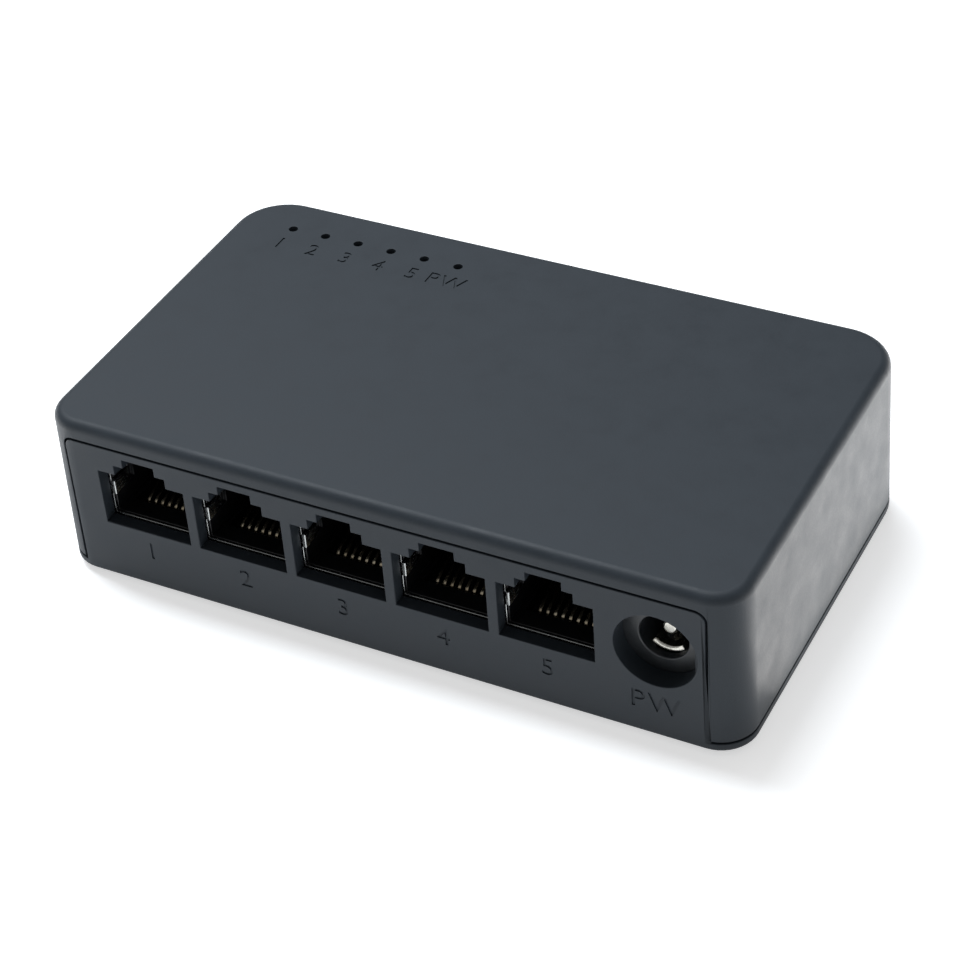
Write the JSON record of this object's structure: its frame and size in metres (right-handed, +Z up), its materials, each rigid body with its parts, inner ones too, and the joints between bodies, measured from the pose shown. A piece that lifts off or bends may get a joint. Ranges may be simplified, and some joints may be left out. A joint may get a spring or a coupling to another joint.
{
  "type": "desktop network switch",
  "caption": "Small charcoal box with a row of stepped modular jacks and a round power inlet in its front panel, lamp holes in the top and rubber feet.",
  "frame": {"origin": "middle of the underside, on the surface that the feet stand on", "axes": "+X along the front panel to the right as seen from the front, where the power inlet is, +Y from the front panel to the back, +Z up"},
  "size_m": [0.0954, 0.0562, 0.0246],
  "materials": {
    "case_plastic": "fine spark-eroded texture, blue-grey charcoal",
    "jack_plastic": "semi-gloss black moulding",
    "plated_shield": "tin-plated sheet, bright on cut edges",
    "plated_contact": "bright plated contact metal",
    "gilt_contact": "gold-flashed spring wire in a black carrier",
    "board_laminate": "green solder mask over glass laminate",
    "chip_moulding": "matt black moulding compound with tinned leads",
    "capacitor_can": "drawn aluminium can",
    "lamp_lens": "milky lamp lens",
    "screw_steel": "zinc-plated steel",
    "foot_rubber": "matt black rubber"
  },
  "bodies": {
    "root": {"top_cover": "case_plastic", "base_and_front_panel": "case_plastic", "jack_housing": "jack_plastic", "jack_shield": "plated_shield", "circuit_board": "board_laminate", "inlet_body": "jack_plastic", "inlet_centre_pin": "plated_contact", "inlet_leaf_spring": "plated_contact", "contact_insert_1": "gilt_contact", "contact_insert_2": "gilt_contact", "contact_insert_3": "gilt_contact", "contact_insert_4": "gilt_contact", "contact_insert_5": "gilt_contact", "port_lamp_1": "lamp_lens", "port_lamp_2": "lamp_lens", "port_lamp_3": "lamp_lens", "port_lamp_4": "lamp_lens", "port_lamp_5": "lamp_lens", "power_lamp": "lamp_lens", "line_transformer_1": "chip_moulding", "line_transformer_2": "chip_moulding", "line_transformer_3": "chip_moulding", "line_transformer_4": "chip_moulding", "line_transformer_5": "chip_moulding", "switch_chip": "chip_moulding", "crystal": "plated_contact", "regulator_chip": "chip_moulding", "power_coil": "chip_moulding", "input_capacitor": "capacitor_can", "output_capacitor": "capacitor_can", "case_screw_left": "screw_steel", "case_screw_right": "screw_steel", "board_screw_left": "screw_steel", "board_screw_right": "screw_steel", "foot_front_left": "foot_rubber", "foot_front_right": "foot_rubber", "foot_back_left": "foot_rubber", "foot_back_right": "foot_rubber"}
  },
  "joints": []
}
